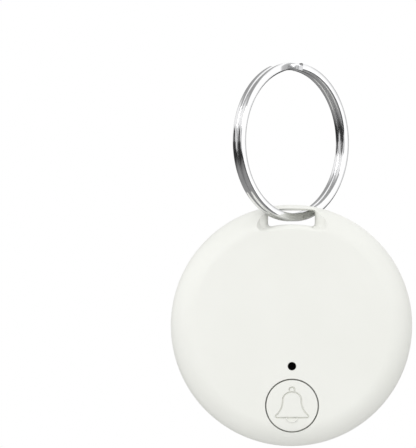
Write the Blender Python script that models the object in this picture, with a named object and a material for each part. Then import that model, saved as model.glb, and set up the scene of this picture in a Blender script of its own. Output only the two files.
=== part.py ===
"""Bluetooth tracker tag hanging from a split key ring.

The round housing hangs upright below the ring: +Z is up, the front face looks along -Y, and the
origin is the highest point of the ring's inside, where a hook or a second ring would carry it.
Every size below is in millimetres, and is turned into metres where a mesh is made. Points of the
tag are measured from the centre of its disc: x to the right, y to the back and z up.
"""

import math

import bmesh
import bpy

MM = 0.001

# Split ring: one flat wire wound into two coils side by side.
RING_OUTER_R = 12.5
WIRE_DEPTH = 1.25  # across the wire, along the ring's radius
WIRE_WIDTH = 1.0  # across the wire, along the ring's axis
COIL_GAP = 0.06
RING_YAW = 46.0  # degrees from the tag's face to the ring's plane
JOG_ANGLE = 24.0  # the wire steps over to the second coil in this angle
JOG_CENTRE = 96.0
WIRE_END_GAP = 1.5
RING_INNER_R = RING_OUTER_R - WIRE_DEPTH

# Housing: a disc with a flat face on each side and an elliptical edge.
DISC_R = 19.0
HALF_THICKNESS = 4.2
FLAT_R = 15.4
WALL = 1.1
CAVITY_R = 17.9
CAVITY_FLAT_R = 15.0
PARTING_FRONT = 0.60
PARTING_REAR = 0.65
RING_TO_DISC = 28.85  # ring centre to disc centre
DISC_Z = -RING_INNER_R - RING_TO_DISC
SEGMENTS = 60
CELL_SEGMENTS = 36
RIM_STEPS = 6

# Lap joint between the shells.
LIP_INNER_R = 17.05
LIP_OUTER_R = 17.75
LIP_DEPTH = 1.05

# Slot that the ring passes through, with its sleeve.
SLOT_HALF_WIDTH = 3.7
SLOT_BOTTOM = 15.6
SLOT_TOP = 18.1
SLOT_CORNER = 0.5
SLOT_CROWN = 0.3
SLEEVE_WALL = 0.85
SLOT_ROUNDINGS = ((1.6, 1.6), (3.3, 0.9), (1.5, 1.1))  # ends, lower edge, bar: (from, radius)
ROUNDING_END = 78.0

# Push button and what is under it.
BUTTON_Z = -12.45
BUTTON_R = 4.0
BUTTON_HOLE_R = 4.22
FLANGE_R = 4.6
COUNTERBORE_R = 4.8
COUNTERBORE_Y = -3.05

# Sound port and buzzer.
PORT_Z = -6.3
PORT_R = 0.66
PIEZO_Z = 4.0
PIEZO_R = 9.0
CERAMIC_R = 6.4

# Circuit board and its screws.
PCB_R = 16.4
PCB_FRONT = -1.1
PCB_REAR = -0.5
SCREW_ANGLES = (20.0, 160.0, 235.0)
SCREW_CIRCLE_R = 14.3
BOSS_R = 1.7
SCREW_SHANK_R = 0.5
SCREW_HEAD_R = 1.2

# CR2032 cell.
CELL_R = 10.0
CELL_FRONT = -0.1
CELL_REAR = 3.1

# Battery compartment and its quarter-turn door.
WELL_R = 10.25
WELL_WALL_R = 10.95
WELL_RIM_Y = 2.6
FLOOR_FRONT = 0.2
FLOOR_REAR = 0.8
BORE_R = 12.45
BOSS_OUTER_R = 14.1
DOOR_R = 12.3
SKIRT_INNER_R = 11.3
DOOR_FACE_Y = 4.1
THREAD_STARTS = 3
THREAD_TURN = 33.0  # keeps the lugs' ends off the ridges of the faceted door
THREAD_LEAD = 9.6  # lift for a whole turn, so a quarter turn lifts the door by 2.4
LUG_R = 13.1
LUG_Y = 2.5
LUG_HALF_HEIGHT = 0.4
LUG_HALF_ANGLE = 12.0
GROOVE_R = 13.3
GROOVE_CLEARANCE = 0.14
COIN_SLOT = (9.0, 1.6, 0.5)  # long, wide, deep

WARM_WHITE = (0.86, 0.86, 0.82)
STEEL = (0.62, 0.62, 0.60)


def clear_scene():
    for obj in list(bpy.data.objects):
        bpy.data.objects.remove(obj)


# ---------------------------------------------------------------- shapes


def arc(centre_r, centre_y, reach_r, reach_y, start, end, steps):
    """Points (r, y) of an elliptical arc, from start to end in degrees."""
    angles = [math.radians(start + (end - start) * i / steps) for i in range(steps + 1)]
    return [(centre_r + reach_r * math.cos(a), centre_y + reach_y * math.sin(a)) for a in angles]


def outer_edge(start_y, end_y):
    """The housing's outer edge between two heights, which may be the flat faces themselves."""
    start, end = (math.degrees(math.asin(y / HALF_THICKNESS)) for y in (start_y, end_y))
    reach = DISC_R - FLAT_R
    return arc(FLAT_R, 0, reach, HALF_THICKNESS, start, end, RIM_STEPS)


def inner_edge(start_y, end_y, steps=6):
    """The cavity's edge between two heights."""
    depth = HALF_THICKNESS - WALL
    start, end = (math.degrees(math.asin(y / depth)) for y in (start_y, end_y))
    return arc(CAVITY_FLAT_R, 0, CAVITY_R - CAVITY_FLAT_R, depth, start, end, steps)


def finished(bm):
    """Close up the normals, which all the shapes leave to this step."""
    bmesh.ops.recalc_face_normals(bm, faces=bm.faces)
    return bm


def loft(rings, bm=None):
    """A skin over rings of equal point count, capped at both ends."""
    bm = bm or bmesh.new()
    rows = [[bm.verts.new([v * MM for v in point]) for point in ring] for ring in rings]
    for a, b in zip(rows, rows[1:]):
        for i in range(len(a)):
            j = (i + 1) % len(a)
            bm.faces.new((a[i], a[j], b[j], b[i]))
    bm.faces.new(rows[0])
    bm.faces.new(rows[-1])
    return finished(bm)


def turned(profile, x=0.0, z=0.0, segments=SEGMENTS, bm=None):
    """A profile of (r, y) turned round a line along Y. Points with r = 0 become poles."""
    bm = bm or bmesh.new()
    turns = [2 * math.pi * i / segments for i in range(segments)]
    rows = []
    for r, y in profile:
        count = segments if r > 0 else 1
        row = [
            bm.verts.new(((x + r * math.sin(a)) * MM, y * MM, (z + r * math.cos(a)) * MM))
            for a in turns[:count]
        ]
        rows.append(row * (segments // count))
    for a, b in zip(rows, rows[1:] + rows[:1]):
        for i in range(segments):
            j = (i + 1) % segments
            corners = dict.fromkeys((a[i], a[j], b[j], b[i]))
            if len(corners) > 2:
                bm.faces.new(tuple(corners))
    return finished(bm)


def disc(radius, y0, y1, x=0.0, z=0.0, segments=SEGMENTS, bm=None):
    return turned([(0, y0), (radius, y0), (radius, y1), (0, y1)], x, z, segments, bm)


def washer(inner, outer, y0, y1, x=0.0, z=0.0, segments=SEGMENTS):
    return turned([(inner, y0), (outer, y0), (outer, y1), (inner, y1)], x, z, segments)


def prism(outline, y0, y1, bm=None):
    """An outline of (x, z) points, extruded along Y."""
    return loft([[(x, y, z) for x, z in outline] for y in (y0, y1)], bm=bm)


def rounded_outline(x, z, width, height, radius, steps=3):
    """A rectangle about (x, z) with round corners."""
    points = []
    for quarter, (sx, sz) in enumerate(((1, 1), (-1, 1), (-1, -1), (1, -1))):
        cx, cz = x + sx * (width / 2 - radius), z + sz * (height / 2 - radius)
        for i in range(steps + 1):
            a = math.radians(90 * (quarter + i / steps))
            points.append((cx + radius * math.cos(a), cz + radius * math.sin(a)))
    return points


def block(x, z, width, height, y0, y1, radius=0.15, bm=None):
    return prism(rounded_outline(x, z, width, height, radius), y0, y1, bm)


def bent_strip(path, thickness, low, high, along):
    """A strip of sheet metal: path is its midline in (u, y), low to high is its width.

    along says which way the width runs: "z" puts u on x, and "x" puts u on z.
    """
    sides = ([], [])
    for i, (u, y) in enumerate(path):
        before, after = path[max(i - 1, 0)], path[min(i + 1, len(path) - 1)]
        length = math.hypot(after[0] - before[0], after[1] - before[1])
        nu, ny = -(after[1] - before[1]) / length, (after[0] - before[0]) / length
        for side, sign in zip(sides, (0.5, -0.5)):
            side.append((u + sign * thickness * nu, y + sign * thickness * ny))
    outline = sides[0] + sides[1][::-1]
    if along == "z":
        return loft([[(u, y, w) for u, y in outline] for w in (low, high)])
    return loft([[(w, y, u) for u, y in outline] for w in (low, high)])


# ---------------------------------------------------------------- objects


def material(name, colour, roughness, metallic):
    made = bpy.data.materials.new(name)
    made.use_nodes = True
    shader = made.node_tree.nodes["Principled BSDF"]
    shader.inputs["Base Color"].default_value = (*colour, 1.0)
    shader.inputs["Roughness"].default_value = roughness
    shader.inputs["Metallic"].default_value = metallic
    made.diffuse_color = (*colour, 1.0)
    return made


def placed(name, bm, parent):
    mesh = bpy.data.meshes.new(name)
    bm.to_mesh(mesh)
    bm.free()
    obj = bpy.data.objects.new(name, mesh)
    bpy.context.scene.collection.objects.link(obj)
    obj.parent = parent
    return obj


def node(name, bm, parent, colour, roughness, metallic=0.0, sharp=35):
    """One visible piece, with its own material."""
    obj = placed(name, bm, parent)
    obj.data.materials.append(material(name, colour, roughness, metallic))
    obj.data.shade_smooth()
    obj.data.set_sharp_from_angle(angle=math.radians(sharp))
    return obj


def helper(name, bm, parent):
    """A shape that only cuts, joins or trims another."""
    obj = placed(name, bm, parent)
    obj.hide_render = True
    obj.display_type = "WIRE"
    return obj


def boolean(obj, other, operation="DIFFERENCE"):
    modifier = obj.modifiers.new(f"{operation.lower()} {other.name}", "BOOLEAN")
    modifier.operation = operation
    modifier.object = other
    modifier.solver = "EXACT"


# ---------------------------------------------------------------- the slot


def slot_outline(ends, lower, bar):
    """The slot's outline, grown by these distances at its ends, its lower edge and the bar."""
    low, high = SLOT_BOTTOM, SLOT_TOP
    middle = (low + high) / 2
    core_x, core_z = SLOT_HALF_WIDTH - SLOT_CORNER, (high - low) / 2 - SLOT_CORNER
    points = rounded_outline(0, middle, 2 * SLOT_HALF_WIDTH, high - low, SLOT_CORNER, steps=4)
    points += [(share * SLOT_HALF_WIDTH, low) for share in (-0.6, -0.3, 0.0, 0.3, 0.6)]
    grown = []
    for x, z in points:
        nx = (x - max(-core_x, min(core_x, x))) / SLOT_CORNER
        nz = (z - middle - max(-core_z, min(core_z, z - middle))) / SLOT_CORNER
        growth = ends * nx * nx + (bar if nz > 0 else lower) * nz * nz
        crown = SLOT_CROWN * max(0.0, 1 - (x / core_x) ** 2) if nz < -0.99 else 0.0
        grown.append((x + growth * nx, z + growth * nz + crown))
    return sorted(grown, key=lambda point: math.atan2(point[1] - middle, point[0]))


def rounding(y, start, radius):
    """How far a rounded mouth has opened at height y, and along a straight line after its end."""
    end = math.radians(ROUNDING_END)
    into = (abs(y) - start) / radius
    if into <= 0:
        return 0.0
    if into < math.sin(end):
        return radius * (1 - math.sqrt(1 - into * into))
    return radius * (1 - math.cos(end)) + 0.8 * radius * (into - math.sin(end))


def slot_cutter():
    """The space of the slot through both shells, with its rounded mouths."""
    heights = {0.0, HALF_THICKNESS + 1.0}
    for start, radius in SLOT_ROUNDINGS:
        for share in (0.0, 0.3, 0.6, 1.0):
            angle = math.radians(ROUNDING_END * share)
            heights.add(round(start + radius * math.sin(angle), 2))
    rings = []
    for y in sorted({-y for y in heights} | heights):
        outline = slot_outline(*(rounding(y, start, radius) for start, radius in SLOT_ROUNDINGS))
        rings.append([(x, y, z) for x, z in outline])
    return loft(rings)


def sleeve(y0, y1):
    """The wall round the slot, as a block that reaches past the housing's edge."""
    half = SLOT_HALF_WIDTH + SLEEVE_WALL
    low, high = SLOT_BOTTOM - SLEEVE_WALL, DISC_R + 1
    return block(0, (low + high) / 2, 2 * half, high - low, y0, y1, radius=0.6)


# ---------------------------------------------------------------- housing


def screw_places():
    for angle in SCREW_ANGLES:
        a = math.radians(angle)
        yield SCREW_CIRCLE_R * math.cos(a), SCREW_CIRCLE_R * math.sin(a)


def join_sleeve(shell, y0, y1, mid_wall, tag):
    """Grow the slot's wall inside a shell, ending halfway through the shell's own wall."""
    wall = helper(f"{shell.name}_sleeve", sleeve(y0, y1), tag)
    boolean(wall, mid_wall, "INTERSECT")
    boolean(shell, wall, "UNION")


def mid_wall_shape():
    depth = HALF_THICKNESS - WALL / 2
    reach = (DISC_R - FLAT_R + CAVITY_R - CAVITY_FLAT_R) / 2
    edge = arc((FLAT_R + CAVITY_FLAT_R) / 2, 0, reach, depth, -90, 90, 2 * RIM_STEPS)
    return turned([(0, -depth), *edge, (0, depth)])


def front_shell(tag, slot, mid_wall):
    edge = outer_edge(-HALF_THICKNESS, PARTING_FRONT)
    floor = WALL - HALF_THICKNESS
    shell = node(
        "front_shell",
        turned([
            (0, -HALF_THICKNESS), *edge, (CAVITY_R, PARTING_FRONT), *inner_edge(0, floor),
            (0, floor),
        ]),
        tag, WARM_WHITE, 0.45,
    )
    join_sleeve(shell, -HALF_THICKNESS, PARTING_FRONT - 0.02, mid_wall, tag)
    bosses = bmesh.new()
    for x, z in screw_places():
        disc(BOSS_R, floor - WALL / 2, PCB_FRONT - 0.04, x, z, 20, bosses)
    boolean(shell, helper("screw_bosses", bosses, tag), "UNION")
    boolean(shell, slot)
    holes = bmesh.new()
    disc(PORT_R, -5.0, -2.0, 0, PORT_Z, 20, holes)
    turned(
        [
            (0, -5.0), (BUTTON_HOLE_R, -5.0), (BUTTON_HOLE_R, COUNTERBORE_Y),
            (COUNTERBORE_R, COUNTERBORE_Y), (COUNTERBORE_R, -1.0), (0, -1.0),
        ],
        0, BUTTON_Z, 40, holes,
    )
    for x, z in screw_places():
        disc(SCREW_SHANK_R + 0.05, -2.9, 0.0, x, z, 12, holes)
    boolean(shell, helper("front_holes", holes, tag))


def lug(bm, radius, start, end, half_height, turn, inner=DOOR_R - 0.15):
    """A block swept up the thread from start to end degrees, at one of its starts."""
    rings = []
    steps = max(2, round((end - start) / 8))
    for i in range(steps + 1):
        angle = start + (end - start) * i / steps
        y = LUG_Y + THREAD_LEAD * angle / 360
        a = math.radians(angle + turn)
        corners = (
            (inner, y - half_height), (radius, y - half_height),
            (radius, y + half_height), (inner, y + half_height),
        )
        rings.append([(r * math.sin(a), h, r * math.cos(a)) for r, h in corners])
    loft(rings, bm=bm)


def thread_turns():
    return [360 * i / THREAD_STARTS + THREAD_TURN for i in range(THREAD_STARTS)]


def rear_shell(tag, slot, mid_wall):
    edge = outer_edge(PARTING_REAR, HALF_THICKNESS)
    ceiling = HALF_THICKNESS - WALL
    reach = (LIP_INNER_R - CAVITY_FLAT_R) / (CAVITY_R - CAVITY_FLAT_R)
    lip_top = ceiling * math.sqrt(1 - reach * reach)
    lip_end = PARTING_REAR - LIP_DEPTH
    shell = node(
        "rear_shell",
        turned([
            *edge, (BORE_R + 0.3, HALF_THICKNESS), (BORE_R, HALF_THICKNESS - 0.3),
            (BORE_R, FLOOR_REAR), (WELL_WALL_R, FLOOR_REAR), (WELL_WALL_R, WELL_RIM_Y),
            (WELL_R, WELL_RIM_Y), (WELL_R, FLOOR_FRONT), (BOSS_OUTER_R, FLOOR_FRONT),
            (BOSS_OUTER_R, ceiling), *inner_edge(ceiling, lip_top, 4), (LIP_INNER_R, lip_end),
            (LIP_OUTER_R, lip_end), (LIP_OUTER_R, PARTING_REAR),
        ]),
        tag, WARM_WHITE, 0.45,
    )
    notch = helper(
        "lip_notch",
        block(0, 18, 2 * (SLOT_HALF_WIDTH + SLEEVE_WALL + 0.15), 6.9, -3.0, PARTING_REAR - 0.02),
        tag,
    )
    boolean(shell, notch)
    join_sleeve(shell, PARTING_REAR + 0.02, HALF_THICKNESS, mid_wall, tag)
    grooves = bmesh.new()
    for turn in thread_turns():
        lug(
            grooves, GROOVE_R, -LUG_HALF_ANGLE - 1.5, 104.0,
            LUG_HALF_HEIGHT + GROOVE_CLEARANCE, turn, inner=BORE_R - 0.4,
        )
    boolean(shell, helper("thread_grooves", grooves, tag))
    boolean(shell, helper("clip_opening", block(10.3, 0, 1.5, 3.2, -2.0, 2.9), tag))
    boolean(shell, slot)


def battery_door(door):
    seat = [(DOOR_R, 1.6), (11.85, 1.6), (11.85, 1.1), (DOOR_R, 1.1)]
    cover = node(
        "battery_door",
        turned([
            (0, DOOR_FACE_Y), (DOOR_R - 0.25, DOOR_FACE_Y), (DOOR_R, DOOR_FACE_Y - 0.25), *seat,
            (DOOR_R, 0.9), (SKIRT_INNER_R, 0.9), (SKIRT_INNER_R, 3.2), (0, 3.2),
        ]),
        door, WARM_WHITE, 0.45,
    )
    lugs = bmesh.new()
    for turn in thread_turns():
        lug(lugs, LUG_R, -LUG_HALF_ANGLE, LUG_HALF_ANGLE, LUG_HALF_HEIGHT, turn)
    boolean(cover, helper("door_lugs", lugs, door), "UNION")
    long, wide, deep = COIN_SLOT
    coin = block(0, 0, long, wide, DOOR_FACE_Y - deep, 5.0, radius=0.75)
    boolean(cover, helper("coin_slot", coin, door))
    node("door_seal", washer(11.9, 12.4, 1.15, 1.55), door, (0.03, 0.03, 0.03), 0.6)


# ---------------------------------------------------------------- button, port and buzzer


def button(tag, parent):
    stem_end = -2.5
    cap = node(
        "button_cap",
        turned(
            [
                (0, -5.0), (BUTTON_R, -5.0), (BUTTON_R, -3.0), (FLANGE_R, -3.0),
                (FLANGE_R, -2.7), (1.3, -2.7), (1.3, stem_end), (0, stem_end),
            ],
            0, BUTTON_Z, 40,
        ),
        parent, WARM_WHITE, 0.45,
    )
    edge = outer_edge(-HALF_THICKNESS, 0.0)
    skin = helper("outer_skin", turned([(0, -HALF_THICKNESS), *edge, (0, 0)]), tag)
    boolean(cap, skin, "INTERSECT")
    node(
        "button_gasket",
        washer(3.5, 4.45, -2.42, PCB_FRONT - 0.04, 0, BUTTON_Z, 40),
        tag, (0.75, 0.75, 0.73), 0.7,
    )


def sound_port(tag):
    node(
        "port_adhesive", washer(0.85, 1.4, -3.07, -2.99, 0, PORT_Z, 20),
        tag, (0.10, 0.09, 0.08), 0.8,
    )
    node(
        "port_mesh", disc(1.4, -2.96, -2.88, 0, PORT_Z, 20),
        tag, (0.01, 0.01, 0.01), 0.9,
    )


def buzzer(tag):
    node(
        "piezo_foam_ring", washer(7.9, 8.9, -3.06, -2.79, 0, PIEZO_Z, 40),
        tag, (0.05, 0.05, 0.05), 0.95,
    )
    node(
        "piezo_plate", disc(PIEZO_R, -2.76, -2.56, 0, PIEZO_Z, 40),
        tag, (0.78, 0.60, 0.28), 0.3, 1.0,
    )
    node(
        "piezo_ceramic", disc(CERAMIC_R, -2.53, -2.33, 0, PIEZO_Z, 40),
        tag, (0.80, 0.78, 0.72), 0.5,
    )
    ends = ((3.2, -2.27), (7.9, -2.50))
    for number, (x, top) in enumerate(ends, 1):
        foot = PCB_FRONT - 0.09
        path = [(x - 0.9, foot), (x + 0.5, foot), (x + 0.85, foot - 0.35)]
        path += [(x - 0.1, top + 0.32), (x - 0.5, top)]
        node(
            f"buzzer_contact_{number}",
            bent_strip(path, 0.1, PIEZO_Z - 0.5, PIEZO_Z + 0.5, "z"),
            tag, (0.85, 0.68, 0.35), 0.3, 1.0,
        )


# ---------------------------------------------------------------- board and cell


def circuit_board(tag):
    board = node("pcb", disc(PCB_R, PCB_FRONT, PCB_REAR), tag, (0.02, 0.16, 0.06), 0.4)
    cuts = bmesh.new()
    block(0, 18, 2 * (SLOT_HALF_WIDTH + SLEEVE_WALL + 0.2), 7.2, -2.0, 0.5, 0.4, cuts)
    for x, z in screw_places():
        disc(SCREW_SHANK_R + 0.25, -2.0, 0.5, x, z, 16, cuts)
    boolean(board, helper("board_cuts", cuts, tag))
    for number, (x, z) in enumerate(screw_places(), 1):
        head = PCB_REAR + 0.04
        node(
            f"pcb_screw_{number}",
            turned(
                [
                    (0, -2.6), (0.25, -2.6), (SCREW_SHANK_R, -2.3), (SCREW_SHANK_R, head),
                    (SCREW_HEAD_R, head), (SCREW_HEAD_R, head + 0.3),
                    (0.8, head + 0.5), (0, head + 0.5),
                ],
                x, z, 16,
            ),
            tag, STEEL, 0.3, 1.0,
        )


def components(tag):
    """The parts soldered to the board's front: name, place, size over the board and colour."""
    black, ceramic, tan = (0.02, 0.02, 0.02), (0.75, 0.73, 0.68), (0.45, 0.36, 0.25)
    parts = [
        ("ble_chip", (-4.5, 2.0), (5.0, 5.0, 0.85), black, 0.5),
        ("crystal_main", (-10.2, 6.5), (3.2, 2.5, 0.7), STEEL, 0.3),
        ("crystal_clock", (-10.8, 1.0), (3.2, 1.5, 0.75), STEEL, 0.3),
        ("antenna_chip", (11.6, -7.6), (3.2, 1.6, 1.1), ceramic, 0.5),
        ("inductor", (6.2, -5.6), (2.5, 2.0, 1.1), (0.12, 0.12, 0.12), 0.5),
        ("capacitor_1", (-3.6, -5.6), (1.6, 0.8, 0.8), tan, 0.5),
        ("capacitor_2", (2.6, -5.6), (1.6, 0.8, 0.8), tan, 0.5),
        ("capacitor_3", (-10.8, -3.0), (1.6, 0.8, 0.8), tan, 0.5),
        ("capacitor_4", (8.6, -9.6), (1.6, 0.8, 0.8), tan, 0.5),
    ]
    for name, (x, z), (width, height, depth), colour, roughness in parts:
        top = PCB_FRONT - 0.04
        node(name, block(x, z, width, height, top - depth, top), tag, colour, roughness)


def tact_switch(tag, parent):
    base = node(
        "switch_base", block(0, BUTTON_Z, 4.4, 4.4, -1.75, PCB_FRONT - 0.04, 0.4),
        tag, (0.03, 0.03, 0.03), 0.5,
    )
    tray = helper("switch_tray", disc(1.8, -2.0, -1.35, 0, BUTTON_Z, 24), tag)
    boolean(base, tray)
    node(
        "switch_dome",
        turned([(0, -1.60), (0.8, -1.56), (1.6, -1.42), (1.55, -1.38), (0.8, -1.50), (0, -1.54)],
               0, BUTTON_Z, 24),
        tag, STEEL, 0.25, 1.0,
    )
    cover = node(
        "switch_cover", block(0, BUTTON_Z, 4.5, 4.5, -1.95, -1.80, 0.4),
        tag, STEEL, 0.3, 1.0,
    )
    opening = helper("switch_opening", disc(1.15, -2.5, -1.5, 0, BUTTON_Z, 24), tag)
    boolean(cover, opening)
    node(
        "switch_plunger",
        turned([(0, -2.45), (0.9, -2.45), (1.0, -2.35), (1.0, -1.76), (1.4, -1.76),
                (1.4, -1.64), (0, -1.64)], 0, BUTTON_Z, 24),
        parent, (0.05, 0.05, 0.05), 0.5,
    )


def coin_cell(tag):
    """A CR2032: a steel can, open at the front, with what is stacked in it."""

    def layer(name, profile, colour, roughness, metallic=0.0):
        node(name, turned(profile, segments=CELL_SEGMENTS), tag, colour, roughness, metallic)

    def pellet(radius, y0, y1):
        return [(0, y0), (radius, y0), (radius, y1), (0, y1)]

    layer(
        "cell_can",
        [
            (0, CELL_REAR), (CELL_R - 0.3, CELL_REAR), (CELL_R, CELL_REAR - 0.3), (CELL_R, 0.5),
            (CELL_R - 0.25, 0.25), (9.15, 0.25), (9.15, 0.5), (CELL_R - 0.25, 0.5),
            (CELL_R - 0.25, CELL_REAR - 0.25), (0, CELL_REAR - 0.25),
        ],
        STEEL, 0.25, 1.0,
    )
    layer(
        "cell_gasket",
        [
            (8.95, 0.15), (9.1, 0.15), (9.1, 0.55), (9.7, 0.55), (9.7, 0.9),
            (9.45, 0.9), (9.45, 0.7), (8.95, 0.7),
        ],
        (0.10, 0.12, 0.20), 0.6,
    )
    layer(
        "cell_cap",
        [
            (0, CELL_FRONT), (8.4, CELL_FRONT), (8.85, CELL_FRONT + 0.35), (8.85, 0.75),
            (9.4, 0.75), (9.4, 0.95), (8.6, 0.95), (8.6, CELL_FRONT + 0.45),
            (8.3, CELL_FRONT + 0.25), (0, CELL_FRONT + 0.25),
        ],
        STEEL, 0.25, 1.0,
    )
    layer("cell_anode", pellet(8.0, 0.2, 0.9), (0.70, 0.70, 0.68), 0.4, 1.0)
    layer("cell_separator", pellet(9.2, 1.0, 1.1), (0.85, 0.85, 0.82), 0.9)
    layer("cell_cathode", pellet(9.0, 1.15, 2.8), (0.02, 0.02, 0.02), 0.9)


def battery_contacts(tag):
    foot = PCB_REAR + 0.09
    node(
        "negative_contact",
        bent_strip(
            [(-6.5, foot), (-3.6, foot), (-0.6, CELL_FRONT - 0.09), (0.9, CELL_FRONT - 0.09),
             (2.2, foot + 0.1)],
            0.1, -1.6, 1.6, "z",
        ),
        tag, STEEL, 0.25, 1.0,
    )
    leg = CELL_R + 0.28
    node(
        "positive_contact",
        bent_strip(
            [(12.6, foot), (leg, foot), (leg, 0.6), (CELL_R + 0.12, 1.5), (leg, 2.3)],
            0.12, -1.3, 1.3, "z",
        ),
        tag, STEEL, 0.25, 1.0,
    )


# ---------------------------------------------------------------- split ring


def split_ring():
    """The wire's section, swept for nearly two turns with a step from one coil to the other."""
    yaw = math.radians(RING_YAW)
    along, across = (math.cos(yaw), math.sin(yaw)), (math.sin(yaw), -math.cos(yaw))
    d, w, c = WIRE_DEPTH / 2, WIRE_WIDTH / 2, 0.27
    section = [(-d, c - w), (c - d, -w), (d - c, -w), (d, c - w)]
    section += [(-radial, -axial) for radial, axial in section]
    shift = (WIRE_WIDTH + COIL_GAP) / 2
    reach = 360 - JOG_ANGLE / 2 - WIRE_END_GAP
    steps = 136
    rings = []
    for i in range(steps + 1):
        turn = reach * (2 * i / steps - 1)
        a = math.radians(turn + JOG_CENTRE)
        share = max(0.0, min(1.0, turn / JOG_ANGLE + 0.5))
        coil = shift * (2 * share * share * (3 - 2 * share) - 1)
        ring = []
        for radial, axial in section:
            out = (RING_INNER_R + d + radial) * math.cos(a)
            up = (RING_INNER_R + d + radial) * math.sin(a)
            side = coil + axial
            ring.append((out * along[0] + side * across[0], out * along[1] + side * across[1], up))
        rings.append(ring)
    ring = node("split_ring", loft(rings), None, (0.75, 0.75, 0.76), 0.15, 1.0, sharp=50)
    ring.location = (0, 0, -RING_INNER_R * MM)


def axis(name, location, parent=None):
    """An empty on a joint's axis, which the joint's pieces hang from."""
    empty = bpy.data.objects.new(name, None)
    bpy.context.scene.collection.objects.link(empty)
    empty.location = location
    empty.parent = parent
    return empty


def main():
    clear_scene()
    tag = axis("tag_swivel_axis", (0, 0, DISC_Z * MM))
    door = axis("battery_door_axis", (0, 0, 0), tag)
    press = axis("button_press_axis", (0, 0, 0), tag)
    slot = helper("ring_slot", slot_cutter(), tag)
    mid_wall = helper("mid_wall", mid_wall_shape(), tag)
    front_shell(tag, slot, mid_wall)
    rear_shell(tag, slot, mid_wall)
    battery_door(door)
    button(tag, press)
    sound_port(tag)
    buzzer(tag)
    circuit_board(tag)
    components(tag)
    tact_switch(tag, press)
    coin_cell(tag)
    battery_contacts(tag)
    split_ring()


main()
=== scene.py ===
"""Looks of the bluetooth tracker tag: fine housing, button, door and split ring, and every finish."""

import math

import bmesh
import bpy
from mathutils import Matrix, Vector


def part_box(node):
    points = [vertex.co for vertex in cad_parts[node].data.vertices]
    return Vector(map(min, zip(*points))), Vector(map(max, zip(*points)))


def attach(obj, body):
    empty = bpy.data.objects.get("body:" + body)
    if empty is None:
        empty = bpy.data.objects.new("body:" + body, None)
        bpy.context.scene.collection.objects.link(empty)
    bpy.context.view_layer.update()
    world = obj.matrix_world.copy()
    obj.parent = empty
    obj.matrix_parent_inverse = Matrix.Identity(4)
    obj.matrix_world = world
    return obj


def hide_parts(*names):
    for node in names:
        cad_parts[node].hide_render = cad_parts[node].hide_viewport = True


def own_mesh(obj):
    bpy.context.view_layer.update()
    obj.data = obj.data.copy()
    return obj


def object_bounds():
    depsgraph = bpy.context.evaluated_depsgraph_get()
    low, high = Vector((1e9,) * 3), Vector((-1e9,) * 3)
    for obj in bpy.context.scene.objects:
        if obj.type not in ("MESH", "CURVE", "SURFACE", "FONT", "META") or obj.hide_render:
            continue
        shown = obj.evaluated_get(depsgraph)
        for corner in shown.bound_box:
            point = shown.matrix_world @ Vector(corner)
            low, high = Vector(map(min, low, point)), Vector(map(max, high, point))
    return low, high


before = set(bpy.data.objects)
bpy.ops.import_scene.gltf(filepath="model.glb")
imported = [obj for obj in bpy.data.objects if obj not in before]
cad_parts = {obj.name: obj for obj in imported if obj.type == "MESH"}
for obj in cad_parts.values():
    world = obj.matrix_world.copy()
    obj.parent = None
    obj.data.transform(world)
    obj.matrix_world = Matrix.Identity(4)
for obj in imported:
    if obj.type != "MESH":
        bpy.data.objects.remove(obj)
CAD_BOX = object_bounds()

MM = 0.001

# ---------------------------------------------------------------- sizes, in millimetres


def box_mm(node):
    low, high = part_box(node)
    return [v / MM for v in low], [v / MM for v in high]


FRONT_LOW, FRONT_HIGH = box_mm("front_shell")
REAR_LOW = box_mm("rear_shell")[0]
CAP_LOW, CAP_HIGH = box_mm("button_cap")
DOOR_HIGH = box_mm("battery_door")[1]
RING_LOW, RING_HIGH = box_mm("split_ring")
SEAL_LOW, SEAL_HIGH = box_mm("door_seal")
MESH_LOW, MESH_HIGH = box_mm("port_mesh")
DOME_LOW, DOME_HIGH = box_mm("switch_dome")

DISC_R = (FRONT_HIGH[2] - FRONT_LOW[2]) / 2
DISC_Z = (FRONT_HIGH[2] + FRONT_LOW[2]) / 2
HALF_THICKNESS = -FRONT_LOW[1]
PARTING_FRONT = FRONT_HIGH[1]
PARTING_REAR = PARTING_FRONT + 0.05
FLAT_R = DISC_R - 3.6
WALL = 1.1
CAVITY_R = DISC_R - WALL
CAVITY_FLAT_R = FLAT_R - 0.4
LIP_INNER_R = CAVITY_R - 0.85
LIP_OUTER_R = CAVITY_R - 0.15
LIP_END = REAR_LOW[1]
SEGMENTS = 180
RIM_STEPS = 20

BUTTON_Z = (CAP_HIGH[2] + CAP_LOW[2]) / 2 - DISC_Z
FLANGE_R = (CAP_HIGH[2] - CAP_LOW[2]) / 2
BUTTON_R = FLANGE_R - 0.6
BUTTON_HOLE_R = BUTTON_R + 0.22
COUNTERBORE_R = FLANGE_R + 0.2
COUNTERBORE_Y = -3.05
PORT_Z = (MESH_HIGH[2] + MESH_LOW[2]) / 2 - DISC_Z
PORT_R = 0.66
PORT_LIP = 0.14

SLOT_HALF_WIDTH = 3.7
SLOT_BOTTOM = DISC_R - 3.4
SLOT_TOP = DISC_R - 0.9
SLOT_CORNER = 0.5
SLOT_CROWN = 0.3
SLEEVE_WALL = 0.85
SLOT_ROUNDINGS = ((1.6, 1.6), (3.3, 0.9), (1.5, 1.1))  # ends, lower edge, bar: (from, radius)
ROUNDING_END = 78.0

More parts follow.
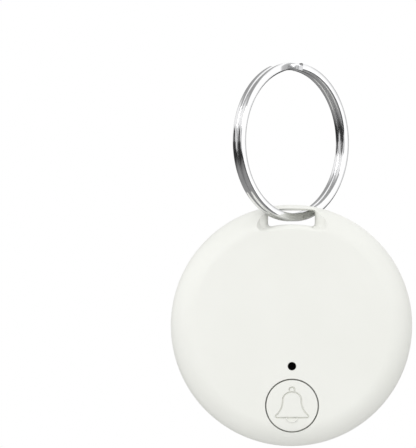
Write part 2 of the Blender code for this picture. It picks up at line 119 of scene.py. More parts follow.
BORE_R = 12.45
WELL_R = 10.25
WELL_WALL_R = 10.95
WELL_RIM_Y = 2.6
FLOOR_FRONT = 0.2
FLOOR_REAR = 0.8
BOSS_OUTER_R = 14.1
DOOR_R = 12.3
SKIRT_INNER_R = 11.3
DOOR_FACE_Y = DOOR_HIGH[1]
THREAD_STARTS = 3
THREAD_TURN = 33.0
THREAD_LEAD = 9.6
LUG_R = 13.1
LUG_Y = 2.5
LUG_HALF_HEIGHT = 0.4
LUG_HALF_ANGLE = 12.0
GROOVE_R = 13.3
GROOVE_CLEARANCE = 0.14
COIN_SLOT = (9.0, 1.6, 0.5)

WIRE_DEPTH = 1.25
WIRE_WIDTH = 1.0
COIL_GAP = 0.06
RING_INNER_R = -(RING_HIGH[2] + RING_LOW[2]) / 2
RING_YAW = 46.0
JOG_ANGLE = 24.0
JOG_CENTRE = 96.0
WIRE_END_GAP = 1.5

# ---------------------------------------------------------------- light and camera, in metres

# a stop is a position, from 0 opposite a direction to 1 along it, and the grey there
SOFT_LIGHT = 1.0
WALL_LIGHT = 1.3
SOFT_STOPS = ((0.0, 1.0), (0.3, 0.93), (0.5, 0.80), (0.75, 0.42), (1.0, 0.06))
UPPER_WALL_STOPS = (
    (0.0, 0.025), (0.012, 0.03), (0.025, 0.78), (0.10, 0.78), (0.15, 0.42), (0.20, 0.27),
    (0.375, 0.31), (0.46, 0.36), (0.5, 0.8), (1.0, 1.0),
)
LOWER_WALL_STOPS = (
    (0.0, 0.025), (0.06, 0.03), (0.10, 0.12), (0.14, 0.22), (0.30, 0.30), (0.45, 0.34),
    (0.5, 0.75), (1.0, 1.0),
)
KEY_PLACE = (-0.20, -0.60, 0.35)
KEY_SIZE = 0.35
KEY_POWER = 0.98
FLOOR_RADIUS = 0.45
FLOOR_DROP = 0.026
CAMERA_DISTANCE = 0.7
FRAME_HEIGHT = 0.0704
DISC_RIGHT_OF_MIDDLE = 0.01312
DISC_BELOW_MIDDLE = 0.01593

# ---------------------------------------------------------------- shapes


def arc(centre_r, centre_y, reach_r, reach_y, start, end, steps):
    """Points (r, y) of an elliptical arc, from start to end in degrees."""
    angles = [math.radians(start + (end - start) * i / steps) for i in range(steps + 1)]
    return [(centre_r + reach_r * math.cos(a), centre_y + reach_y * math.sin(a)) for a in angles]


def outer_edge(start_y, end_y):
    """The housing's outer edge between two heights."""
    start, end = (math.degrees(math.asin(y / HALF_THICKNESS)) for y in (start_y, end_y))
    return arc(FLAT_R, 0, DISC_R - FLAT_R, HALF_THICKNESS, start, end, RIM_STEPS)


def inner_edge(start_y, end_y, steps=8):
    depth = HALF_THICKNESS - WALL
    start, end = (math.degrees(math.asin(y / depth)) for y in (start_y, end_y))
    return arc(CAVITY_FLAT_R, 0, CAVITY_R - CAVITY_FLAT_R, depth, start, end, steps)


def rounded(profile, corners, steps=4):
    """A profile with an arc in place of each listed corner: {index: radius}."""
    points = []
    for i, here in enumerate(profile):
        if i not in corners:
            points.append(here)
            continue
        here = Vector(here)
        before = (Vector(profile[i - 1]) - here).normalized()
        after = (Vector(profile[(i + 1) % len(profile)]) - here).normalized()
        start, end = here + before * corners[i], here + after * corners[i]
        for k in range(steps + 1):
            t = k / steps
            point = start * (1 - t) ** 2 + here * (2 * t * (1 - t)) + end * t * t
            points.append(tuple(point))
    return points


def finished(bm):
    bmesh.ops.recalc_face_normals(bm, faces=bm.faces)
    return bm


def loft(rings, bm=None, uv=None):
    """A skin over rings of equal point count, capped at both ends, in tag millimetres."""
    bm = bm or bmesh.new()
    rows = [[bm.verts.new([v * MM for v in point]) for point in ring] for ring in rings]
    layer = bm.loops.layers.uv.new("wire") if uv else None
    for i, (a, b) in enumerate(zip(rows, rows[1:])):
        for k in range(len(a)):
            j = (k + 1) % len(a)
            face = bm.faces.new((a[k], a[j], b[j], b[k]))
            if layer:
                spots = ((i, k), (i, k + 1), (i + 1, k + 1), (i + 1, k))
                for loop, (row, column) in zip(face.loops, spots):
                    loop[layer].uv = (row / (len(rows) - 1) * uv, column / len(a))
    bm.faces.new(rows[0])
    bm.faces.new(rows[-1])
    return finished(bm)


def turned(profile, x=0.0, z=0.0, segments=SEGMENTS):
    """A profile of (r, y) turned round a line along Y. Points with r = 0 become poles."""
    bm = bmesh.new()
    turns = [2 * math.pi * i / segments for i in range(segments)]
    rows = []
    for r, y in profile:
        count = segments if r > 0 else 1
        row = [
            bm.verts.new(((x + r * math.sin(a)) * MM, y * MM, (z + r * math.cos(a)) * MM))
            for a in turns[:count]
        ]
        rows.append(row * (segments // count))
    for a, b in zip(rows, rows[1:] + rows[:1]):
        for i in range(segments):
            j = (i + 1) % segments
            corners = dict.fromkeys((a[i], a[j], b[j], b[i]))
            if len(corners) > 2:
                bm.faces.new(tuple(corners))
    return finished(bm)


def rounded_outline(x, z, width, height, radius, steps=3):
    points = []
    for quarter, (sx, sz) in enumerate(((1, 1), (-1, 1), (-1, -1), (1, -1))):
        cx, cz = x + sx * (width / 2 - radius), z + sz * (height / 2 - radius)
        for i in range(steps + 1):
            a = math.radians(90 * (quarter + i / steps))
            points.append((cx + radius * math.cos(a), cz + radius * math.sin(a)))
    return points


def block(x, z, width, height, y0, y1, radius=0.15, steps=3):
    outline = rounded_outline(x, z, width, height, radius, steps)
    return loft([[(u, y, w) for u, w in outline] for y in (y0, y1)])


def groove_along(path, half_width, depth, y, closed=False, sides=8):
    """A thin oval tube along (x, z) points at height y, to cut an engraved line with."""
    bm = bmesh.new()
    rows = []
    count = len(path)
    for i, (x, z) in enumerate(path):
        before = path[(i - 1) % count] if closed or i else path[0]
        after = path[(i + 1) % count] if closed or i < count - 1 else path[-1]
        length = math.hypot(after[0] - before[0], after[1] - before[1])
        nx, nz = -(after[1] - before[1]) / length, (after[0] - before[0]) / length
        row = []
        for k in range(sides):
            a = 2 * math.pi * (k + 0.5) / sides
            out, up = half_width * math.cos(a), depth * math.sin(a)
            point = ((x + out * nx) * MM, (y + up) * MM, (z + out * nz) * MM)
            row.append(bm.verts.new(point))
        rows.append(row)
    pairs = list(zip(rows, rows[1:] + rows[:1])) if closed else list(zip(rows, rows[1:]))
    for a, b in pairs:
        for k in range(sides):
            j = (k + 1) % sides
            bm.faces.new((a[k], a[j], b[j], b[k]))
    if not closed:
        bm.faces.new(rows[0])
        bm.faces.new(rows[-1])
    return finished(bm)


# ---------------------------------------------------------------- objects


def placed(name, bm, origin_z=DISC_Z):
    """An object in the frame, from a mesh measured from the disc's centre."""
    bmesh.ops.translate(bm, verts=bm.verts, vec=(0, 0, origin_z * MM))
    mesh = bpy.data.meshes.new(name)
    bm.to_mesh(mesh)
    bm.free()
    obj = bpy.data.objects.new(name, mesh)
    bpy.context.scene.collection.objects.link(obj)
    return obj


def apply_all(obj):
    """Keep what the modifiers make as the object's own mesh."""
    graph = bpy.context.evaluated_depsgraph_get()
    made = bpy.data.meshes.new_from_object(obj.evaluated_get(graph), depsgraph=graph)
    obj.modifiers.clear()
    obj.data = made


def boolean(obj, *others, operation="DIFFERENCE"):
    """Cut, join or trim with helper objects, which are used up."""
    for other in others:
        modifier = obj.modifiers.new("cut", "BOOLEAN")
        modifier.operation = operation
        modifier.object = other
        modifier.solver = "EXACT"
        apply_all(obj)
        bpy.data.objects.remove(other)


def shaded(obj, sharp=32):
    obj.data.shade_smooth()
    obj.data.set_sharp_from_angle(angle=math.radians(sharp))
    if sharp > 50:
        return
    normals = obj.modifiers.new("flat faces stay flat", "WEIGHTED_NORMAL")
    normals.keep_sharp = True
    normals.weight = 80


def piece(obj, body, node, finish, sharp=32):
    """The object stands for a CAD node and moves with its body."""
    obj.data.materials.clear()
    obj.data.materials.append(finish)
    shaded(obj, sharp)
    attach(obj, body)
    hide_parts(node)


# ---------------------------------------------------------------- finishes


class Finish:
    """A Principled material built node by node."""

    def __init__(self, name, roughness, metallic=0.0):
        self.material = bpy.data.materials.new(name)
        self.material.use_nodes = True
        self.nodes = self.material.node_tree.nodes
        self.links = self.material.node_tree.links
        self.shader = self.nodes["Principled BSDF"]
        self.shader.inputs["Roughness"].default_value = roughness
        self.shader.inputs["Metallic"].default_value = metallic
        self.place = self.nodes.new("ShaderNodeTexCoord").outputs["Object"]

    def noise(self, scale, detail=3.0, stretch=None, place=None):
        """Noise values over the surface; scale is in waves per millimetre."""
        place = place or self.place
        if stretch:
            mapping = self.nodes.new("ShaderNodeMapping")
            mapping.inputs["Scale"].default_value = stretch
            self.links.new(place, mapping.inputs["Vector"])
            place = mapping.outputs["Vector"]
        noise = self.nodes.new("ShaderNodeTexNoise")
        noise.inputs["Scale"].default_value = scale
        noise.inputs["Detail"].default_value = detail
        self.links.new(place, noise.inputs["Vector"])
        return noise.outputs["Fac"]

    def spread(self, value, low, high, start=0.3, end=0.7):
        """Map a texture's middle range onto low to high."""
        node = self.nodes.new("ShaderNodeMapRange")
        for name, number in (
            ("From Min", start), ("From Max", end), ("To Min", low), ("To Max", high),
        ):
            node.inputs[name].default_value = number
        self.links.new(value, node.inputs["Value"])
        return node.outputs["Result"]

    def colours(self, value, *stops):
        """Colour from a value, through (position, colour) stops."""
        ramp = self.nodes.new("ShaderNodeValToRGB")
        while len(ramp.color_ramp.elements) < len(stops):
            ramp.color_ramp.elements.new(1.0)
        for element, (position, colour) in zip(ramp.color_ramp.elements, stops):
            element.position = position
            element.color = (*colour, 1.0)
        self.links.new(value, ramp.inputs["Fac"])
        self.links.new(ramp.outputs["Color"], self.shader.inputs["Base Color"])

    def rough(self, value, low, high):
        self.links.new(self.spread(value, low, high), self.shader.inputs["Roughness"])

    def bump(self, value, depth, strength=1.0):
        """Relief from a value; depth is in millimetres."""
        node = self.nodes.new("ShaderNodeBump")
        node.inputs["Strength"].default_value = strength
        node.inputs["Distance"].default_value = depth * MM
        self.links.new(value, node.inputs["Height"])
        self.links.new(node.outputs["Normal"], self.shader.inputs["Normal"])


def shade(colour, factor):
    return tuple(min(1.0, v * factor) for v in colour)


def moulded(name, colour, roughness, grain=9000.0, depth=0.004, tone=0.985):
    """Moulded plastic: a fine even grain and a very slight change of tone."""
    made = Finish(name, roughness)
    drift = made.noise(120.0, 2.0)
    made.colours(drift, (0.35, shade(colour, tone)), (0.65, colour))
    fine = made.noise(grain, 2.0)
    made.rough(fine, roughness - 0.05, roughness + 0.06)
    made.bump(fine, depth)
    return made.material


def white_plastic():
    made = Finish("satin_white_plastic", 0.42)
    drift = made.noise(90.0, 2.0)
    made.colours(drift, (0.35, (0.855, 0.860, 0.815)), (0.65, (0.870, 0.875, 0.832)))
    fine = made.noise(7000.0, 3.0)
    made.rough(fine, 0.38, 0.50)
    made.bump(fine, 0.003)
    made.shader.inputs["Specular IOR Level"].default_value = 0.4
    return made.material


def sheet_metal(name, colour, roughness, stretch=(1.0, 14.0, 1.0), depth=0.002):
    """Rolled or pressed metal: fine lines one way and cloudy tarnish."""
    made = Finish(name, roughness, 1.0)
    cloud = made.noise(500.0, 4.0)
    made.colours(cloud, (0.3, shade(colour, 0.86)), (0.7, colour))
    lines = made.noise(1500.0, 4.0, stretch)
    made.rough(lines, roughness * 0.7, roughness * 1.5)
    made.bump(lines, depth)
    return made.material


def drawn_wire():
    """Nickel plated spring wire: bright, with drawing lines and handling scratches along it."""
    made = Finish("nickel_plated_wire", 0.14, 1.0)
    along = made.nodes.new("ShaderNodeTexCoord").outputs["UV"]
    lines = made.noise(1.0, 3.0, (0.5, 14.0, 1.0), along)
    patches = made.noise(1.0, 2.0, (4.0, 2.0, 1.0), along)
    made.colours(patches, (0.35, (0.80, 0.802, 0.81)), (0.65, (0.87, 0.871, 0.875)))
    made.rough(lines, 0.08, 0.15)
    return made.material


def woven_mesh():
    """Black acoustic cloth: two sets of threads that cross."""
    made = Finish("acoustic_mesh", 0.85)
    weave = made.nodes.new("ShaderNodeTexBrick")
    weave.inputs["Scale"].default_value = 9000.0
    weave.inputs["Color1"].default_value = (1.0, 1.0, 1.0, 1.0)
    weave.inputs["Color2"].default_value = (0.7, 0.7, 0.7, 1.0)
    weave.inputs["Mortar"].default_value = (0.0, 0.0, 0.0, 1.0)
    turn = made.nodes.new("ShaderNodeMapping")
    turn.inputs["Rotation"].default_value = (math.pi / 2, 0.0, 0.0)
    made.links.new(made.place, turn.inputs["Vector"])
    made.links.new(turn.outputs["Vector"], weave.inputs["Vector"])
    made.shader.inputs["Specular IOR Level"].default_value = 0.1
    made.colours(weave.outputs["Color"], (0.0, (0.0, 0.0, 0.0)), (1.0, (0.001, 0.001, 0.001)))
    made.bump(weave.outputs["Fac"], 0.03)
    return made.material


def foam(name, colour, grain=3500.0, depth=0.05):
    made = Finish(name, 0.95)
    cells = made.nodes.new("ShaderNodeTexVoronoi")
    cells.inputs["Scale"].default_value = grain
    made.links.new(made.place, cells.inputs["Vector"])
    made.colours(cells.outputs["Distance"], (0.1, shade(colour, 0.5)), (0.7, colour))
    made.bump(cells.outputs["Distance"], depth)
    return made.material


def solder_mask():
    """Green board with straight tracks under the mask."""
    made = Finish("green_solder_mask", 0.35)
    tracks = made.nodes.new("ShaderNodeTexBrick")
    tracks.inputs["Scale"].default_value = 420.0
    tracks.inputs["Mortar Size"].default_value = 0.08
    tracks.inputs["Color1"].default_value = (0.2, 0.2, 0.2, 1.0)
    tracks.inputs["Color2"].default_value = (0.3, 0.3, 0.3, 1.0)
    tracks.inputs["Mortar"].default_value = (1.0, 1.0, 1.0, 1.0)
    turn = made.nodes.new("ShaderNodeMapping")
    turn.inputs["Rotation"].default_value = (math.pi / 2, 0.0, 0.0)
    made.links.new(made.place, turn.inputs["Vector"])
    made.links.new(turn.outputs["Vector"], tracks.inputs["Vector"])
    made.colours(
        tracks.outputs["Color"], (0.1, (0.008, 0.10, 0.035)), (0.9, (0.02, 0.20, 0.07)),
    )
    made.bump(tracks.outputs["Color"], 0.02)
    return made.material


# ---------------------------------------------------------------- the slot


def rounding(y, start, radius):
    """How far a rounded mouth has opened at height y, and along a straight line after its end."""
    end = math.radians(ROUNDING_END)
    into = (abs(y) - start) / radius
    if into <= 0:
        return 0.0
    if into < math.sin(end):
        return radius * (1 - math.sqrt(1 - into * into))
    return radius * (1 - math.cos(end)) + 0.8 * radius * (into - math.sin(end))


def slot_outline(ends, lower, bar):
    low, high = SLOT_BOTTOM, SLOT_TOP
    middle = (low + high) / 2
    core_x, core_z = SLOT_HALF_WIDTH - SLOT_CORNER, (high - low) / 2 - SLOT_CORNER
    points = rounded_outline(0, middle, 2 * SLOT_HALF_WIDTH, high - low, SLOT_CORNER, steps=8)
    points += [(share * core_x / 6, low) for share in range(-5, 6)]
    points += [(share * core_x / 3, high) for share in range(-2, 3)]
    grown = []
    for x, z in points:
        nx = (x - max(-core_x, min(core_x, x))) / SLOT_CORNER
        nz = (z - middle - max(-core_z, min(core_z, z - middle))) / SLOT_CORNER
        growth = ends * nx * nx + (bar if nz > 0 else lower) * nz * nz
        crown = SLOT_CROWN * max(0.0, 1 - (x / core_x) ** 2) if nz < -0.99 else 0.0
        grown.append((x + growth * nx, z + growth * nz + crown))
    return sorted(grown, key=lambda point: math.atan2(point[1] - middle, point[0]))


def slot_cutter():
    heights = {0.0, HALF_THICKNESS + 1.0}
    for start, radius in SLOT_ROUNDINGS:
        for step in range(7):
            angle = math.radians(ROUNDING_END * step / 6)
            heights.add(round(start + radius * math.sin(angle), 2))
    rings = []
    for y in sorted({-y for y in heights} | heights):
        outline = slot_outline(*(rounding(y, start, radius) for start, radius in SLOT_ROUNDINGS))
        rings.append([(x, y, z) for x, z in outline])
    return placed("slot_cutter", loft(rings))


def sleeve_in(y0, y1):
    """The slot's wall, trimmed halfway through the housing's own wall."""
    half = SLOT_HALF_WIDTH + SLEEVE_WALL
    low, high = SLOT_BOTTOM - SLEEVE_WALL, DISC_R + 1
    wall = placed("sleeve", block(0, (low + high) / 2, 2 * half, high - low, y0, y1, 0.6))
    depth = HALF_THICKNESS - WALL / 2
    reach = (DISC_R - FLAT_R + CAVITY_R - CAVITY_FLAT_R) / 2
    edge = arc((FLAT_R + CAVITY_FLAT_R) / 2, 0, reach, depth, -90, 90, 32)
    middle = placed("mid_wall", turned([(0, -depth), *edge, (0, depth)]))
    boolean(wall, middle, operation="INTERSECT")
    return wall


# ---------------------------------------------------------------- housing


def front_shell(finish):
    edge = outer_edge(-HALF_THICKNESS, PARTING_FRONT)
    floor = WALL - HALF_THICKNESS
    profile = [
        (0, -HALF_THICKNESS), *edge, (CAVITY_R, PARTING_FRONT), *inner_edge(0, floor), (0, floor),
    ]
    corner = len(edge)
    shell = placed("front_housing", turned(rounded(profile, {corner: 0.12})))
    boolean(shell, sleeve_in(-HALF_THICKNESS, PARTING_FRONT - 0.02), operation="UNION")
    boolean(shell, slot_cutter())
    lip = arc(PORT_R + PORT_LIP, PORT_LIP - HALF_THICKNESS, PORT_LIP, PORT_LIP, 260, 180, 5)
    port = [
        (0, -6), (PORT_R + 1.0, -6), (PORT_R + 1.0, -HALF_THICKNESS - 0.9),
        (lip[0][0] + 0.9, lip[0][1] - 0.9), *lip[1:], (PORT_R, -2), (0, -2),
    ]
    boolean(shell, placed("port_cutter", turned(port, 0, PORT_Z, 48)))
    hole = [
        (0, -6), (BUTTON_HOLE_R, -6), (BUTTON_HOLE_R, COUNTERBORE_Y),
        (COUNTERBORE_R, COUNTERBORE_Y), (COUNTERBORE_R, -1.0), (0, -1.0),
    ]
    boolean(shell, placed("hole_cutter", turned(hole, 0, BUTTON_Z, 120)))
    piece(shell, "tag", "front_shell", finish)


def lug(bm, radius, start, end, half_height, turn, inner):
    """A block swept up the thread from start to end degrees, at one of its starts."""
    rings = []
    steps = max(2, round((end - start) / 3))
    for i in range(steps + 1):
        angle = start + (end - start) * i / steps
        y = LUG_Y + THREAD_LEAD * angle / 360
        a = math.radians(angle + turn)
        corners = (
            (inner, y - half_height), (radius, y - half_height),
            (radius, y + half_height), (inner, y + half_height),
        )
        rings.append([(r * math.sin(a), h, r * math.cos(a)) for r, h in corners])
    loft(rings, bm)


def thread_turns():
    return [360 * i / THREAD_STARTS + THREAD_TURN + 0.35 for i in range(THREAD_STARTS)]


def rear_shell(finish):
    edge = outer_edge(PARTING_REAR, HALF_THICKNESS)
    ceiling = HALF_THICKNESS - WALL
    reach = (LIP_INNER_R - CAVITY_FLAT_R) / (CAVITY_R - CAVITY_FLAT_R)
    lip_top = ceiling * math.sqrt(1 - reach * reach)
    profile = [
        *edge, (BORE_R + 0.3, HALF_THICKNESS), (BORE_R, HALF_THICKNESS - 0.3),
        (BORE_R, FLOOR_REAR), (WELL_WALL_R, FLOOR_REAR), (WELL_WALL_R, WELL_RIM_Y),
        (WELL_R, WELL_RIM_Y), (WELL_R, FLOOR_FRONT), (BOSS_OUTER_R, FLOOR_FRONT),
        (BOSS_OUTER_R, ceiling), *inner_edge(ceiling, lip_top, 6), (LIP_INNER_R, LIP_END),
        (LIP_OUTER_R, LIP_END), (LIP_OUTER_R, PARTING_REAR),
    ]
    shell = placed("rear_housing", turned(rounded(profile, {0: 0.12})))
    width = 2 * (SLOT_HALF_WIDTH + SLEEVE_WALL + 0.15)
    boolean(shell, placed("notch", block(0, 18, width, 6.9, -3.0, PARTING_REAR - 0.02)))
    wall = sleeve_in(PARTING_REAR + 0.02, HALF_THICKNESS)
    boolean(shell, wall, operation="UNION")
    grooves = bmesh.new()
    for turn in thread_turns():
        lug(
            grooves, GROOVE_R, -LUG_HALF_ANGLE - 1.5, 104.0,
            LUG_HALF_HEIGHT + GROOVE_CLEARANCE, turn, BORE_R - 0.4,
        )
    boolean(shell, placed("grooves", grooves), placed("clip", block(10.3, 0, 1.5, 3.2, -2.0, 2.9)))
    boolean(shell, slot_cutter())
    piece(shell, "tag", "rear_shell", finish)


def turn_arrow(radius, start, end):
    """A curved arrow round the disc's centre, as two open paths."""
    count = 18
    shaft = []
    for i in range(count + 1):
        a = math.radians(start + (end - start) * i / count)
        shaft.append((radius * math.sin(a), radius * math.cos(a)))
    tip = math.radians(end)
    back = math.radians(end + (-9 if end > start else 9))
    head = [
        ((radius + side) * math.sin(back), (radius + side) * math.cos(back)) for side in (0.8, -0.8)
    ]
    middle = (radius * math.sin(tip), radius * math.cos(tip))
    return shaft, [head[0], middle, head[1]]


def battery_door(finish):
    profile = [
        (0, DOOR_FACE_Y), (DOOR_R, DOOR_FACE_Y), (DOOR_R, 1.6), (11.85, 1.6), (11.85, 1.1),
        (DOOR_R, 1.1), (DOOR_R, 0.9), (SKIRT_INNER_R, 0.9), (SKIRT_INNER_R, 3.2), (0, 3.2),
    ]
    door = placed("door_cover", turned(rounded(profile, {1: 0.3}, 6)))
    lugs = bmesh.new()
    for turn in thread_turns():
        lug(
            lugs, LUG_R, -LUG_HALF_ANGLE, LUG_HALF_ANGLE, LUG_HALF_HEIGHT, turn, DOOR_R - 0.15,
        )
    boolean(door, placed("lugs", lugs), operation="UNION")
    long, wide, deep = COIN_SLOT
    coin = block(0, 0, long, wide, DOOR_FACE_Y - deep, 5.0, 0.75, 8)
    boolean(door, placed("coin", coin))
    for start, end in ((60, 118), (240, 298)):
        for path in turn_arrow(8.6, start, end):
            mark = groove_along(path, 0.15, 0.25, DOOR_FACE_Y)
            boolean(door, placed("mark", mark))
    piece(door, "battery_door", "battery_door", finish)


def door_seal(finish):
    radius = (SEAL_HIGH[1] - SEAL_LOW[1]) / 2
    middle = (SEAL_HIGH[1] + SEAL_LOW[1]) / 2
    centre_r = (SEAL_HIGH[2] - SEAL_LOW[2]) / 2 - radius
    ring = arc(centre_r, middle, radius, radius, 0, 360 - 360 / 16, 15)
    seal = placed("door_o_ring", turned(ring))
    piece(seal, "door_seal", "door_seal", finish, 60)


# ---------------------------------------------------------------- button


def bell_paths():
    """A bell seen from the front, centred on the button: (points, closed, depth) of each line."""
    dome_r, shoulder_z, rim_z, rim_x = 1.45, 0.75, -1.55, 2.35
    side = [
        (dome_r * math.sin(a), shoulder_z + 1.25 * math.cos(a))
        for a in (math.radians(7.5 * i) for i in range(1, 13))
    ]
    for i in range(1, 9):
        t = i / 8
        side.append((dome_r + (rim_x - dome_r) * t ** 2.4, shoulder_z + (rim_z - shoulder_z) * t))
    side += arc(rim_x - 0.02, rim_z - 0.24, 0.24, 0.24, 60, -90, 6)
    body = [(0.0, shoulder_z + 1.25)] + side + [(-x, z) for x, z in reversed(side)]
    clapper = arc(0, rim_z - 0.42, 0.85, 0.72, 0, -180, 14)
    knob = arc(0, shoulder_z + 1.62, 0.42, 0.36, -30, 210, 12)
    return (body, True, 0.32), (clapper, False, 0.26), (knob, False, 0.32)


def button_cap(finish):
    profile = [
        (0, -6), (BUTTON_R, -6), (BUTTON_R, -3.0), (FLANGE_R, -3.0), (FLANGE_R, -2.7),
        (1.3, -2.7), (1.3, CAP_HIGH[1]), (0, CAP_HIGH[1]),
    ]
    cap = placed("push_button", turned(profile, 0, BUTTON_Z, 120))
    edge = outer_edge(-HALF_THICKNESS, 0.0)
    skin = placed("skin", turned([(0, -HALF_THICKNESS), *edge, (0, 0)]))
    boolean(cap, skin, operation="INTERSECT")
    for path, closed, depth in bell_paths():
        path = [(x, z + BUTTON_Z + 0.15) for x, z in path]
        mark = groove_along(path, 0.14, depth, -HALF_THICKNESS, closed)
        boolean(cap, placed("mark", mark))
    piece(cap, "button", "button_cap", finish)


def switch_dome(finish):
    """The thin steel dome under the plunger, built at rest; the real one snaps flat as the button
    goes down.
    """
    radius = (DOME_HIGH[2] - DOME_LOW[2]) / 2
    sheet = 0.06
    rise = DOME_HIGH[1] - DOME_LOW[1] - sheet
    shares = [k / 8 for k in range(9)]
    outer = [(radius * t, DOME_LOW[1] + rise * t * t) for t in shares]
    inner = [(0.97 * radius * t, DOME_LOW[1] + sheet + rise * t * t) for t in reversed(shares)]
    dome = placed("snap_dome", turned(outer + inner, 0, BUTTON_Z, 60))
    piece(dome, "tag", "switch_dome", finish)
    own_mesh(dome)


# ---------------------------------------------------------------- split ring


def split_ring(finish):
    """One flat wire swept for nearly two turns, with a step from one coil to the other."""
    yaw = math.radians(RING_YAW)
    along, across = (math.cos(yaw), math.sin(yaw)), (math.sin(yaw), -math.cos(yaw))
    corner = 0.34
    section = [
        (-x, -z) for x, z in rounded_outline(0, 0, WIRE_DEPTH, WIRE_WIDTH, corner, 5)
    ]
    shift = (WIRE_WIDTH + COIL_GAP) / 2
    reach = 360 - JOG_ANGLE / 2 - WIRE_END_GAP
    steps = 900
    rings = []
    for i in range(steps + 1):
        turn = reach * (2 * i / steps - 1)
        a = math.radians(turn + JOG_CENTRE)
        share = max(0.0, min(1.0, turn / JOG_ANGLE + 0.5))
        coil = shift * (2 * share * share * (3 - 2 * share) - 1)
        ring = []
        for radial, axial in section:
            radius = RING_INNER_R + WIRE_DEPTH / 2 + radial
            out, up = radius * math.cos(a), radius * math.sin(a)
            side = coil + axial
            ring.append((out * along[0] + side * across[0], out * along[1] + side * across[1], up))
        rings.append(ring)
    wire = placed("key_ring_wire", loft(rings, uv=20.0), -RING_INNER_R)
    piece(wire, "ring", "split_ring", finish, 60)


# ---------------------------------------------------------------- the parts kept from the frame


def finish_kept_nodes(steel):
    bright = sheet_metal("plated_steel", (0.72, 0.71, 0.69), 0.22)
    gold = sheet_metal("gold_plated_spring", (0.85, 0.66, 0.32), 0.25)
    brass = sheet_metal("rolled_brass", (0.76, 0.57, 0.26), 0.3)
    black = moulded("black_moulding", (0.020, 0.020, 0.021), 0.5)
    tan = moulded("capacitor_ceramic", (0.42, 0.33, 0.22), 0.55, tone=0.85)
    finishes = {
        "port_mesh": woven_mesh(),
        "port_adhesive": foam("adhesive_foam", (0.10, 0.09, 0.08)),
        "piezo_foam_ring": foam("black_foam", (0.05, 0.05, 0.05)),
        "button_gasket": moulded("silicone", (0.72, 0.72, 0.70), 0.6, 4000.0),
        "piezo_plate": brass,
        "piezo_ceramic": moulded("silvered_ceramic", (0.78, 0.77, 0.73), 0.45, tone=0.92),
        "pcb": solder_mask(),
        "ble_chip": black,
        "switch_base": black,
        "switch_plunger": black,
        "antenna_chip": moulded("antenna_ceramic", (0.74, 0.72, 0.66), 0.5, tone=0.93),
        "inductor": moulded("ferrite", (0.10, 0.10, 0.10), 0.6, 5000.0, 0.01),
        "cell_gasket": moulded("cell_gasket", (0.10, 0.12, 0.20), 0.5),
        "cell_anode": moulded("lithium", (0.66, 0.66, 0.64), 0.45, 2500.0),
        "cell_separator": foam("felt", (0.85, 0.85, 0.82)),
        "cell_cathode": foam("pressed_powder", (0.02, 0.02, 0.02), 6000.0, 0.02),
    }
    for name in ("crystal_main", "crystal_clock", "switch_cover"):
        finishes[name] = steel
    for name in ("cell_can", "cell_cap", "positive_contact", "negative_contact"):
        finishes[name] = bright
    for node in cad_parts:
        if node.startswith("buzzer_contact"):
            finishes[node] = gold
        elif node.startswith("pcb_screw"):
            finishes[node] = steel
        elif node.startswith("capacitor"):
            finishes[node] = tan
    for node, finish in finishes.items():
        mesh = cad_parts[node].data
        mesh.materials.clear()
        mesh.materials.append(finish)


# ---------------------------------------------------------------- stage, light and camera


def floor():
    """A pale disc below the hanging tag, which fades into the white round it.

    Glossy rays see a dim glow in its place, a painted reflection, so the metal mirrors a darker copy
    of it, as if black flags stood round a white table.
    """
    made = Finish("pale_floor", 0.8)
    place = made.nodes.new("ShaderNodeVectorMath")
    place.operation = "LENGTH"
    made.links.new(made.place, place.inputs[0])
    fade = made.spread(place.outputs["Value"], 0.0, 1.0, 0.10, 0.34)
    made.colours(made.noise(60.0, 2.0), (0.3, (0.74, 0.74, 0.735)), (0.7, (0.77, 0.77, 0.765)))
    glow = made.nodes.new("ShaderNodeEmission")
    glow.inputs["Color"].default_value = (1.0, 1.0, 1.0, 1.0)
    mix = made.nodes.new("ShaderNodeMixShader")
    made.links.new(fade, mix.inputs["Fac"])
    made.links.new(made.shader.outputs["BSDF"], mix.inputs[1])
    made.links.new(glow.outputs["Emission"], mix.inputs[2])
    # painted reflection: glossy rays meet a dim glow, 0.30 under the tag and fading to 0.03, instead
    # of the pale floor
    reflection_glow = made.nodes.new("ShaderNodeEmission")
    reflection_glow_strength = made.spread(place.outputs["Value"], 0.30, 0.03, 0.10, 0.22)
    made.links.new(reflection_glow_strength, reflection_glow.inputs["Strength"])
    path = made.nodes.new("ShaderNodeLightPath")
    by_ray = made.nodes.new("ShaderNodeMixShader")
    made.links.new(path.outputs["Is Glossy Ray"], by_ray.inputs["Fac"])
    made.links.new(mix.outputs["Shader"], by_ray.inputs[1])
    made.links.new(reflection_glow.outputs["Emission"], by_ray.inputs[2])
    output = made.nodes["Material Output"]
    made.links.new(by_ray.outputs["Shader"], output.inputs["Surface"])
    bm = bmesh.new()
    bmesh.ops.create_circle(bm, cap_ends=True, segments=96, radius=FLOOR_RADIUS)
    mesh = bpy.data.meshes.new("floor")
    bm.to_mesh(mesh)
    bm.free()
    ground = bpy.data.objects.new("floor", mesh)
    bpy.context.scene.collection.objects.link(ground)
    ground.location.z = CAD_BOX[0].z - FLOOR_DROP
    mesh.materials.append(made.material)


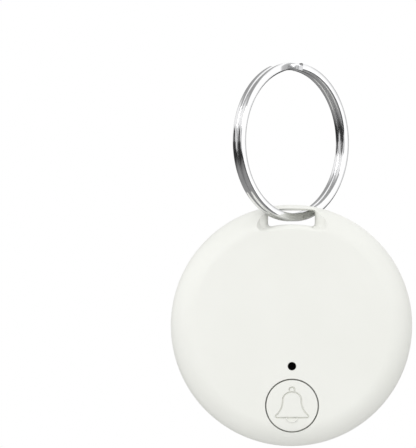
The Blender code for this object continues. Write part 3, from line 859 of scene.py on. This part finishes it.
def studio():
    """White surroundings, softer below and to the right, with darker walls in the reflections."""
    world = bpy.data.worlds.new("studio")
    bpy.context.scene.world = world
    world.use_nodes = True
    nodes, links = world.node_tree.nodes, world.node_tree.links
    nodes.clear()

    def add(kind, **settings):
        node = nodes.new(kind)
        for name, value in settings.items():
            setattr(node, name, value)
        return node

    direction = add("ShaderNodeTexCoord").outputs["Generated"]

    def towards(vector, stops):
        """A grey from how far a direction leans towards a vector."""
        dot = add("ShaderNodeVectorMath", operation="DOT_PRODUCT")
        dot.inputs[1].default_value = Vector(vector).normalized()
        links.new(direction, dot.inputs[0])
        half = add("ShaderNodeMath", operation="MULTIPLY_ADD")
        half.inputs[1].default_value = 0.5
        half.inputs[2].default_value = 0.5
        links.new(dot.outputs["Value"], half.inputs[0])
        ramp = add("ShaderNodeValToRGB")
        while len(ramp.color_ramp.elements) < len(stops):
            ramp.color_ramp.elements.new(1.0)
        for element, (position, grey) in zip(ramp.color_ramp.elements, stops):
            element.position = position
            element.color = (grey, grey, grey, 1.0)
        links.new(half.outputs["Value"], ramp.inputs["Fac"])
        return ramp.outputs["Color"]

    soft = towards((0.12, 0.10, -0.98), SOFT_STOPS)
    above = towards((1.0, 0.0, 0.0), UPPER_WALL_STOPS)
    below = towards((1.0, 0.0, 0.0), LOWER_WALL_STOPS)
    height = towards((0.0, 0.0, 1.0), ((0.0, 0.0), (0.49, 0.0), (0.51, 1.0), (1.0, 1.0)))
    walls = add("ShaderNodeMix", data_type="VECTOR")
    links.new(height, walls.inputs["Factor"])
    links.new(below, walls.inputs[4])
    links.new(above, walls.inputs[5])
    corner = towards((0.77, 0.63, 0.0), ((0.0, 1.0), (0.90, 1.0), (0.955, 0.5), (1.0, 0.4)))
    cards = add("ShaderNodeVectorMath", operation="MULTIPLY")
    links.new(walls.outputs[1], cards.inputs[0])
    links.new(corner, cards.inputs[1])
    path = add("ShaderNodeLightPath")

    def background(colour, strength):
        node = add("ShaderNodeBackground")
        node.inputs["Strength"].default_value = strength
        if colour:
            links.new(colour, node.inputs["Color"])
        else:
            node.inputs["Color"].default_value = (1.0, 1.0, 1.0, 1.0)
        return node.outputs["Background"]

    def choose(switch, otherwise, chosen):
        node = add("ShaderNodeMixShader")
        links.new(path.outputs[switch], node.inputs["Fac"])
        links.new(otherwise, node.inputs[1])
        links.new(chosen, node.inputs[2])
        return node.outputs["Shader"]

    reflected = background(cards.outputs["Vector"], WALL_LIGHT)
    lit = choose("Is Glossy Ray", background(soft, SOFT_LIGHT), reflected)
    surroundings = choose("Is Camera Ray", lit, background(None, 1.0))
    links.new(surroundings, add("ShaderNodeOutputWorld").inputs["Surface"])


def softbox(name, place, target, size, power):
    light = bpy.data.lights.new(name, "AREA")
    light.shape = "DISK"
    light.size = size
    light.energy = power
    lamp = bpy.data.objects.new(name, light)
    bpy.context.scene.collection.objects.link(lamp)
    lamp.location = place
    lamp.rotation_euler = (Vector(target) - Vector(place)).to_track_quat("-Z", "Y").to_euler()


def camera():
    """Level with the tag and square to its face, from far enough to show no perspective."""
    data = bpy.data.cameras.new("camera")
    data.sensor_width = 36.0
    data.lens = data.sensor_width * CAMERA_DISTANCE / FRAME_HEIGHT
    data.clip_end = 10.0
    view = bpy.data.objects.new("camera", data)
    bpy.context.scene.collection.objects.link(view)
    disc = DISC_Z * MM
    view.location = (-DISC_RIGHT_OF_MIDDLE, -CAMERA_DISTANCE, disc + DISC_BELOW_MIDDLE)
    view.rotation_euler = (math.pi / 2, 0, 0)
    bpy.context.scene.camera = view


# ---------------------------------------------------------------- the whole scene

white = white_plastic()
front_shell(white)
rear_shell(white)
battery_door(white)
door_seal(moulded("black_rubber", (0.02, 0.02, 0.02), 0.6, 3000.0))
button_cap(white)
split_ring(drawn_wire())
pressed_steel = sheet_metal("pressed_steel", (0.60, 0.60, 0.59), 0.28)
switch_dome(pressed_steel)
finish_kept_nodes(pressed_steel)
floor()
studio()
softbox("key", KEY_PLACE, (0, 0, DISC_Z * MM), KEY_SIZE, KEY_POWER)
camera()
bpy.context.scene.view_settings.view_transform = "Standard"
